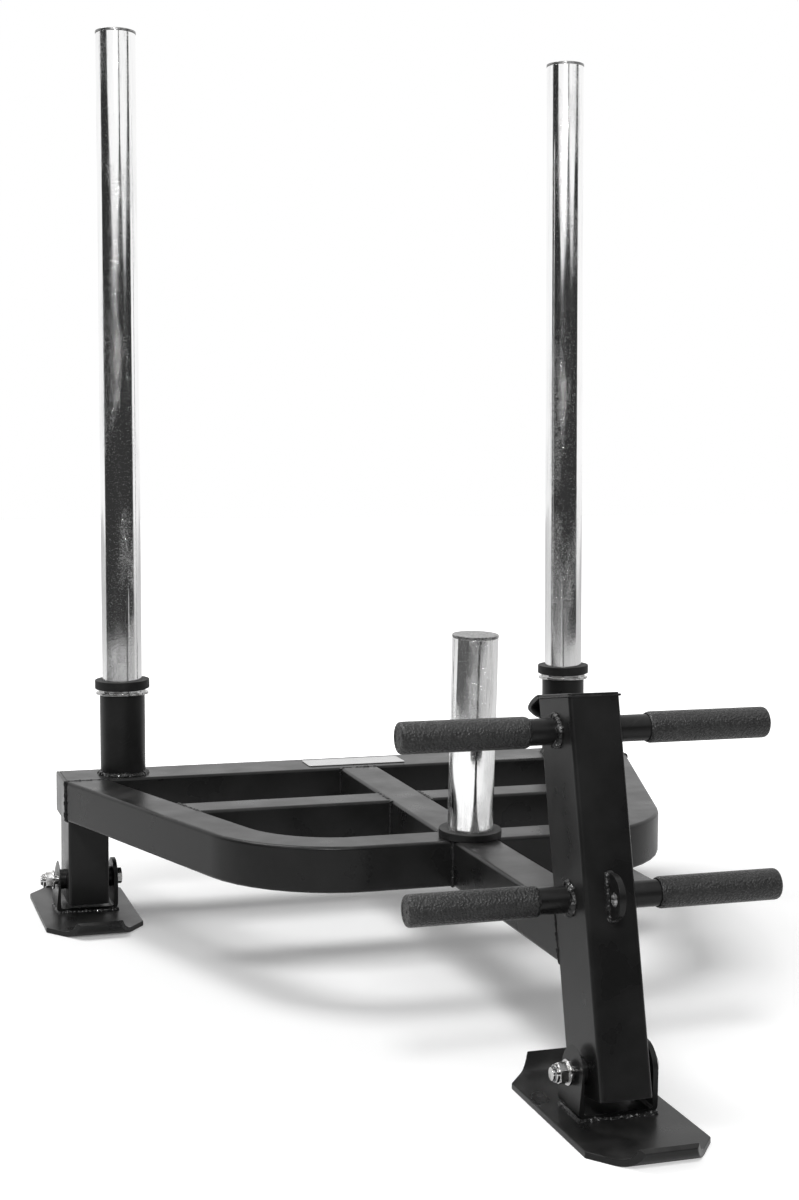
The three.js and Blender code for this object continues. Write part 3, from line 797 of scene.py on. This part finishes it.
# Handle bars and grips, turned about lines along X

handleBar = {"wall": 0.0025, "endRound": 0.0004}
grip = {
    "seat": 0.0003, "boreRound": 0.0004,
    "bevelRun": 0.003, "bevelRise": 0.0012, "bevelFoot": 0.0005, "bevelRound": 0.0012,
    "endRound": 0.0042, "endWall": 0.003,
    "dish": 0.0009, "dishRadius": 0.0102, "dishRound": 0.0004,
    "nub": 0.0022, "nubHeight": 0.0006, "nubFoot": 0.0002, "nubRound": 0.0003,
}


def alongX(x, centre, sign=1):
    return Matrix.Translation((x, centre.y, centre.z)) @ Matrix.Rotation(sign * math.pi / 2, 4, "Y")


# From the end wall inside, down the bore, and back over the outside to the dished end and its nub
def gripOutline(bore, radius, length):
    inside = length - grip["endWall"]
    floor = length - grip["dish"]
    nubTop = floor + grip["nubHeight"]
    return [
        (0, inside, 0), (bore, inside, 0), (bore, 0, grip["boreRound"]),
        (radius - grip["bevelRise"], 0, grip["bevelFoot"]), (radius, grip["bevelRun"], grip["bevelRound"]),
        (radius, length, grip["endRound"]), (grip["dishRadius"], length, grip["dishRound"]),
        (grip["dishRadius"] - grip["dish"], floor, grip["dishRound"]),
        (grip["nub"], floor, grip["nubFoot"]), (grip["nub"], nubTop, grip["nubRound"]), (0, nubTop, 0),
    ]


def turnHandle(level):
    bar = "handle_bar_" + level
    low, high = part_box(bar)
    centre = middle(bar)
    outline = pipeOutline(halfHeight(bar), handleBar["wall"], 0, high.x - low.x, handleBar["endRound"])
    spun(bar, outline, alongX(low.x, centre), "coat")
    for side, sign in sideSigns:
        node = "grip_" + level + "_" + side
        low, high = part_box(node)
        outline = gripOutline(halfHeight(bar) + grip["seat"], halfHeight(node), high.x - low.x)
        root = low.x if sign > 0 else high.x
        spun(node, outline, alongX(root, centre, sign), "grip", closed=False)


for level in ("upper", "lower"):
    turnHandle(level)
print("handles turned")


# Weld beads, drawn as ripples along each seam

welds = {
    "pitch": 0.0048, "perPitch": 5, "ripple": 0.16, "unevenness": 0.26, "wander": 0.14, "endTaper": 0.45,
    "roundness": 2, "sleeveSteps": 96, "handleSteps": 60, "seed": 11,
}
chance = random.Random(welds["seed"])


def stationsAlong(corners, closed):
    ends = corners + corners[:1] if closed else corners
    spacing = welds["pitch"] / welds["perPitch"]
    points = []
    for start, end in zip(ends, ends[1:]):
        steps = max(2, round((end - start).length / spacing))
        points += [start.lerp(end, step / steps) for step in range(steps)]
    return points if closed else points + [ends[-1]]


def weldBead(name, corners, radius, body="frame", closed=False, finish="coat"):
    points = stationsAlong(corners, closed)
    curve = bpy.data.curves.new(name, "CURVE")
    curve.dimensions = "3D"
    curve.bevel_depth = radius
    curve.bevel_resolution = welds["roundness"]
    curve.use_fill_caps = True
    spline = curve.splines.new("POLY")
    spline.points.add(len(points) - 1)
    spline.use_cyclic_u = closed
    for i, point in enumerate(points):
        if i % welds["perPitch"] == 0:
            drift = 1 + chance.uniform(-1, 1) * welds["unevenness"]
            aside = Vector([chance.uniform(-1, 1) * welds["wander"] * radius for _ in range(3)])
        wave = 1 - abs(math.sin(math.pi * i / welds["perPitch"]))
        atEnd = not closed and i in (0, len(points) - 1)
        spline.points[i].co = (*(point + aside), 1)
        spline.points[i].radius = welds["endTaper"] if atEnd else drift * (1 - welds["ripple"] * wave)
    drawn = placed(name, curve)
    bpy.context.view_layer.update()
    shaped = drawn.evaluated_get(bpy.context.evaluated_depsgraph_get())
    mesh = bpy.data.meshes.new_from_object(shaped)
    mesh.name = name
    bpy.data.objects.remove(drawn)
    return finished(mesh, name, body, finish)


def circle(place, radius, steps):
    turns = [2 * math.pi * i / steps for i in range(steps)]
    return [place @ Vector((radius * math.cos(turn), radius * math.sin(turn), 0)) for turn in turns]


# Radii first, then how far seams stand out, stop short, drop, or look for a bar's edge
bead = {
    "sleeve": 0.0040, "tube": 0.0026, "handle": 0.0044, "eye": 0.0028, "base": 0.0028, "flush": 0.0018,
    "cap": 0.0010,
    "proud": 0.0009, "sideReach": 0.002, "legInset": 0.003, "mastInset": 0.0012,
    "loopInset": 0.003, "loopDrop": 0.004, "bracketInset": 0.0016,
}

for side in ("left", "right"):
    ring = circle(leaning(sleeveFoot(side), -postRake), halfWidth("sleeve_" + side), welds["sleeveSteps"])
    weldBead("weldSleeve" + side.capitalize(), ring, bead["sleeve"], closed=True, finish="weld")

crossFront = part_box("cross_tube")[0].y
spineHalf = halfWidth("spine_tube")
seamSink = bead["tube"] - bead["proud"]


# A seam round a tube's end: full in the corners, and nearly flush on the top and underside
def seamRound(name, node, axis, value):
    low, high = endSection(node, axis, value)
    bottom, top = low.z + seamSink, high.z - seamSink
    corners = []
    for end, z in ((low, bottom), (low, top), (high, top), (high, bottom)):
        corner = Vector((end.x, end.y, z))
        corner[axis] = value
        corners.append(corner)
    weldBead(name, corners, bead["tube"], closed=True)


# The middle bar's outer end is cut askew, along the side tube
def seamMiddleBar(side, sign):
    node = "middle_bar_" + side
    low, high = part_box(node)
    bottom, top = low.z + seamSink, high.z - seamSink
    corners = []
    for y, heights in ((low.y, (bottom, top)), (high.y, (top, bottom))):
        reach = max(abs(point.x) for point in pointsOf(node) if abs(point.y - y) < bead["sideReach"])
        corners += [Vector((sign * reach, y, z)) for z in heights]
    weldBead("weldMiddleBarSide" + side.capitalize(), corners, bead["tube"], closed=True)


def seamLeg(side, sign):
    low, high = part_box("leg_" + side)
    inner, outer = (high.x, low.x) if sign < 0 else (low.x, high.x)
    for title, x in (("weldLegInner", inner), ("weldLegOuter", outer)):
        ends = [Vector((x, y, high.z)) for y in (low.y + bead["legInset"], high.y - bead["legInset"])]
        weldBead(title + side.capitalize(), ends, bead["tube"])


for side, sign in sideSigns:
    label = side.capitalize()
    seamRound("weldSideTubeRear" + label, "side_tube_" + side, 1, crossFront)
    seamRound("weldSideTubeSpine" + label, "side_tube_" + side, 0, sign * spineHalf)
    seamRound("weldMiddleBarSpine" + label, "middle_bar_" + side, 0, sign * spineHalf)
    seamMiddleBar(side, sign)
    seamLeg(side, sign)
seamRound("weldSpineRear", "spine_tube", 1, crossFront)

mast = {"lean": math.radians(14.3), "halfWidth": 0.0254, "halfDepth": 0.0381}
mastPlace = leaning(pivotOf("front"), -mast["lean"])
mastInverse = mastPlace.inverted()


def onMast(node):
    return [mastInverse @ point for point in pointsOf(node)]


def heightsOnMast(node):
    heights = [point.z for point in onMast(node)]
    return min(heights), max(heights)


# Where a level plane cuts the mast's back face, as a height along the mast
def seatOnMast(z):
    above = z - mastPlace.translation.z
    return (above + mast["halfDepth"] * math.sin(mast["lean"])) / math.cos(mast["lean"])


def seamOnMast(name, left, right, face, bottom, top, radius, finish="coat"):
    corners = [mastPlace @ Vector((x, face, z))
               for x, z in ((left, bottom), (left, top), (right, top), (right, bottom))]
    weldBead(name, corners, radius, closed=True, finish=finish)


def seamMastCap():
    points = onMast("mast_cap")
    corners = []
    for x, y in ((-1, -1), (-1, 1), (1, 1), (1, -1)):
        foot = min(point.z for point in points if point.x * x > 0 and point.y * y > 0)
        corners.append(mastPlace @ Vector((x * mast["halfWidth"], y * mast["halfDepth"], foot)))
    weldBead("weldMastCap", corners, bead["cap"], closed=True)


spineSeam = mast["halfWidth"] - bead["mastInset"]
spineLow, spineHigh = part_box("spine_tube")
seamOnMast("weldSpineMast", -spineSeam, spineSeam, mast["halfDepth"],
           seatOnMast(spineLow.z), seatOnMast(spineHigh.z), bead["tube"])

for level in ("upper", "lower"):
    bar = "handle_bar_" + level
    for title, x in (("Left", -mast["halfWidth"]), ("Right", mast["halfWidth"])):
        name = "weldHandle" + level.capitalize() + title
        ring = circle(alongX(x, middle(bar)), halfHeight(bar), welds["handleSteps"])
        weldBead(name, ring, bead["handle"], closed=True, finish="weld")

eyeLow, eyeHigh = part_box("tow_eye")
seamOnMast("weldTowEye", eyeLow.x, eyeHigh.x, -mast["halfDepth"], *heightsOnMast("tow_eye"),
           bead["eye"], finish="weld")
seamMastCap()

loopBottom, loopTop = heightsOnMast("strap_loop")
loopHalf = mast["halfWidth"] - bead["loopInset"]
for title, z in (("weldLoopBottom", loopBottom), ("weldLoopTop", loopTop - bead["loopDrop"])):
    ends = [mastPlace @ Vector((x, mast["halfDepth"], z)) for x in (-loopHalf, loopHalf)]
    weldBead(title, ends, bead["flush"])

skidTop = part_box("skid_bracket_front")[0].z
for label in skidLabels:
    low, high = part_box("skid_bracket_" + label)
    left, right = low.x + bead["bracketInset"], high.x - bead["bracketInset"]
    corners = [Vector((x, y, skidTop))
               for x, y in ((left, low.y), (left, high.y), (right, high.y), (right, low.y))]
    weldBead("weldBracket" + label.capitalize(), corners, bead["base"], body="skid_" + label,
             closed=True, finish="weld")
print("seams welded")


# Bolt threads and the nuts' nylon inserts

thread = {
    "pitch": 0.00175, "depth": 0.0009, "radius": 0.0061,
    "crest": 0.45, "foot": 0.9,    # shares of the pitch
    "stepsPerTurn": 40, "turns": 2, "tailGap": 0.0002,
}
insert = {"outer": 0.0074, "inner": 0.00585, "thickness": 0.0012, "rounding": 0.0002, "proud": 0.0001}


def cutThread(label):
    bm = bmesh.new()
    root, pitch = thread["radius"] - thread["depth"], thread["pitch"]
    corners = [(root, 0), (thread["radius"], pitch * thread["crest"]), (root, pitch * thread["foot"])]
    verts = [bm.verts.new((radius, 0, z)) for radius, z in corners]
    edges = [bm.edges.new(pair) for pair in zip(verts, verts[1:] + verts[:1])]
    bmesh.ops.spin(bm, geom=verts + edges, cent=(0, 0, 0), axis=(0, 0, 1),
                   angle=2 * math.pi * thread["turns"], dvec=(0, 0, pitch / thread["stepsPerTurn"]),
                   steps=thread["stepsPerTurn"] * thread["turns"], use_duplicate=False)
    bmesh.ops.holes_fill(bm, edges=bm.edges, sides=3)
    bmesh.ops.recalc_face_normals(bm, faces=bm.faces)
    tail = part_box("pivot_bolt_" + label)[0].x
    bm.transform(alongX(tail + thread["tailGap"], pivotOf(label)))
    finishedFrom(bm, "boltThread" + label.capitalize(), "skid_" + label, "zinc")


def pressInsert(label):
    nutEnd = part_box("pivot_nut_" + label)[0].x
    ring = ringOutline(insert["inner"], insert["outer"], 0, insert["thickness"], insert["rounding"])
    bm = spunMesh(ring, alongX(nutEnd - insert["proud"], pivotOf(label)))
    finishedFrom(bm, "nutInsert" + label.capitalize(), "skid_" + label, "nylon")


for label in skidLabels:
    cutThread(label)
    pressInsert(label)
print("threads cut")


# Floor, world and lamps

studio = {
    "floorSize": 20.0, "floorCells": 8, "floorLevel": 0.85, "floorRough": 0.9, "floorSpecular": 0.1,
    "glowLevels": (0.14, 0.9), "glowInMetal": 0.25, "glowCentre": (0, 0.2, 0), "glowSpread": (0.45, 1.0),
    "worldForObject": 0.30, "aim": (0, 0, 0.3),
    "topPower": 68.0, "topSize": 1.5, "topPlace": (-1.25, 0.8, 3.1),
    "frontPower": 55.0, "frontSize": 0.6, "frontPlace": (-0.96, -2.77, 2.6),
}


# The floor glows for the camera, least under the object so that shadows show, and faintly in polished metal
def makeFloor():
    bm = bmesh.new()
    bmesh.ops.create_grid(bm, x_segments=studio["floorCells"], y_segments=studio["floorCells"],
                          size=studio["floorSize"] / 2)
    floor = placed("studioFloor", meshFrom(bm, "studioFloor"))
    material, tree, shader = newFinish("studioFloor", Roughness=studio["floorRough"],
                                       Specular_IOR_Level=studio["floorSpecular"],
                                       Base_Color=grey(studio["floorLevel"]), Emission_Color=grey(1.0))
    place = add(tree, "TexCoord")["Object"]
    ends = {0: place, 1: studio["glowCentre"]}
    away = add(tree, "VectorMath", ends, operation="DISTANCE")["Value"]
    glow = ramp(tree, away, *studio["glowSpread"], *studio["glowLevels"])
    rays = add(tree, "LightPath")
    inMetal = maths(tree, "MULTIPLY", rays["Is Glossy Ray"], studio["glowInMetal"])
    seen = maths(tree, "MAXIMUM", rays["Is Camera Ray"], rays["Is Transmission Ray"])
    glow = maths(tree, "MULTIPLY", maths(tree, "MAXIMUM", seen, inMetal), glow)
    tree.links.new(glow, shader["Emission Strength"])
    floor.data.materials.append(material)


# White to the camera and in reflections, and dimmer as light on the object
def makeWorld():
    world = bpy.data.worlds.new("studioWorld")
    world.use_nodes = True
    scene.world = world
    tree = world.node_tree
    back = tree.nodes["Background"]
    back.inputs["Color"].default_value = grey(1.0)
    rays = add(tree, "LightPath")
    seen = maths(tree, "MAXIMUM", rays["Is Camera Ray"], rays["Is Glossy Ray"])
    seen = maths(tree, "MAXIMUM", seen, rays["Is Transmission Ray"])
    tree.links.new(ramp(tree, seen, 0.0, 1.0, studio["worldForObject"], 1.0), back.inputs["Strength"])


def makeLamp(label):
    data = bpy.data.lights.new(label + "Lamp", "AREA")
    data.shape = "SQUARE"
    data.size = studio[label + "Size"]
    data.energy = studio[label + "Power"]
    lamp = placed(label + "Lamp", data)
    lamp.location = studio[label + "Place"]
    aim = Vector(studio["aim"]) - Vector(studio[label + "Place"])
    lamp.rotation_euler = aim.to_track_quat("-Z", "Y").to_euler()


# The camera's side of the room, dark above a grey floor; only reflections show it
darkRoom = {
    "centre": (0.0, 0.3), "facing": math.radians(-17), "from": -92, "to": 88, "steps": 90,
    "wallLevel": 0.035, "wallRadius": 3.5,
    # degrees to the right of the camera, and the wall's top and foot there
    "top": [(-92, 3.2), (-54, 3.2), (-48, 1.8), (-26, 1.38), (-14, 1.36), (6, 1.5), (18, 1.8),
            (21, 3.2), (24, 1.8), (38, 1.42), (50, 1.40), (72, 1.8), (88, 2.8)],
    "foot": [(-92, 0.03), (-30, 0.15), (0, 0.165), (50, 0.15), (88, 0.12)],
    "greyLevel": (0.10, 0.62), "greyAcross": (-1.7, 1.3), "greyInner": 1.55, "greyOuter": 3.3,
    "paleLevel": 0.60, "paleOuter": 9.0, "lift": 0.004,
}


def showOnlyInReflections(name, bm, level):
    card = placed(name, meshFrom(bm, name))
    material, tree, shader = newFinish(name, Roughness=1.0, Specular_IOR_Level=0.0, Base_Color=grey(0.0),
                                       Emission_Strength=1.0)
    if isinstance(level, tuple):    # darker at the left end of the room
        across = add(tree, "SeparateXYZ", {0: add(tree, "TexCoord")["Object"]})["X"]
        share = ramp(tree, across, *darkRoom["greyAcross"])
        tree.links.new(blend(tree, share, grey(level[0]), grey(level[1])), shader["Emission Color"])
    else:
        shader["Emission Color"].default_value = grey(level)
    card.data.materials.append(material)
    card.visible_camera = False
    card.visible_diffuse = False
    card.visible_shadow = False


# A line of (distance, height) ends, swept round the room's centre
def sweptCard(ends):
    room = darkRoom
    bm = bmesh.new()
    turn = Matrix.Rotation(room["facing"] + math.radians(room["from"]), 4, "Z")
    verts = [bm.verts.new(turn @ Vector((0, -distance, height))) for distance, height in ends]
    edge = bm.edges.new(verts)
    bmesh.ops.spin(bm, geom=verts + [edge], cent=(0, 0, 0), axis=(0, 0, 1), steps=room["steps"],
                   angle=math.radians(room["to"] - room["from"]), use_duplicate=False)
    return bm


def heightAt(table, angle):
    for (first, low), (second, high) in zip(table, table[1:]):
        if angle <= second:
            return low + (high - low) * max(0.0, angle - first) / (second - first)
    return table[-1][1]


# The wall is swept one unit high, and then its top and foot are set by their tables
def makeDarkRoom():
    room = darkRoom
    wall = sweptCard([(room["wallRadius"], 0), (room["wallRadius"], 1)])
    for vert in wall.verts:
        angle = math.degrees(math.atan2(vert.co.x, -vert.co.y) - room["facing"])
        table = room["top"] if vert.co.z > 0.5 else room["foot"]
        vert.co.z = heightAt(table, (angle + 180) % 360 - 180)
    near = sweptCard([(room["greyInner"], room["lift"]), (room["greyOuter"], room["lift"])])
    far = sweptCard([(room["greyOuter"], room["lift"]), (room["paleOuter"], room["lift"])])
    for name, bm, level in (("darkWall", wall, "wallLevel"), ("greyFloor", near, "greyLevel"),
                            ("paleFloor", far, "paleLevel")):
        bm.transform(Matrix.Translation((*room["centre"], 0)))
        showOnlyInReflections(name, bm, room[level])


makeFloor()
makeWorld()
makeLamp("top")
makeLamp("front")
makeDarkRoom()

scene.view_settings.view_transform = "Standard"
print("studio lit")
